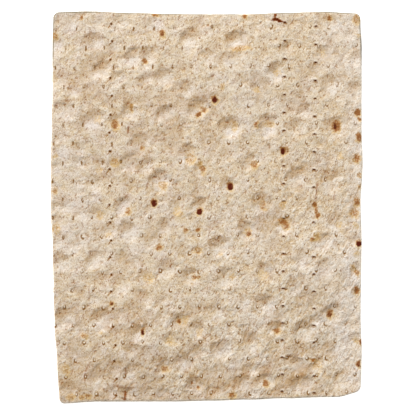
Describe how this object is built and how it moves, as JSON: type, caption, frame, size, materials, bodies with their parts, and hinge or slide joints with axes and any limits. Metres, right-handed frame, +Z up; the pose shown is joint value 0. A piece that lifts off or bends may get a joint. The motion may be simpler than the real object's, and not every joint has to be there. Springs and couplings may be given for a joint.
{
  "type": "lavash",
  "caption": "Thin rectangular sheet of soft baked flatbread with a hollowed, docked upper face, rounded corners and uneven sides, lying flat.",
  "frame": {"origin": "under the middle of the sheet's bounding box, on the surface that it lies on", "axes": "+X across the sheet's width, +Y along its length towards the end at the top of the picture, +Z up from the surface"},
  "size_m": [0.2434, 0.3057, 0.0054],
  "materials": {
    "baked_crumb": "matt pale cream baked dough with tan hollows, small docking marks and brown toasted spots"
  },
  "bodies": {
    "root": {"lavash": "baked_crumb"}
  },
  "joints": []
}
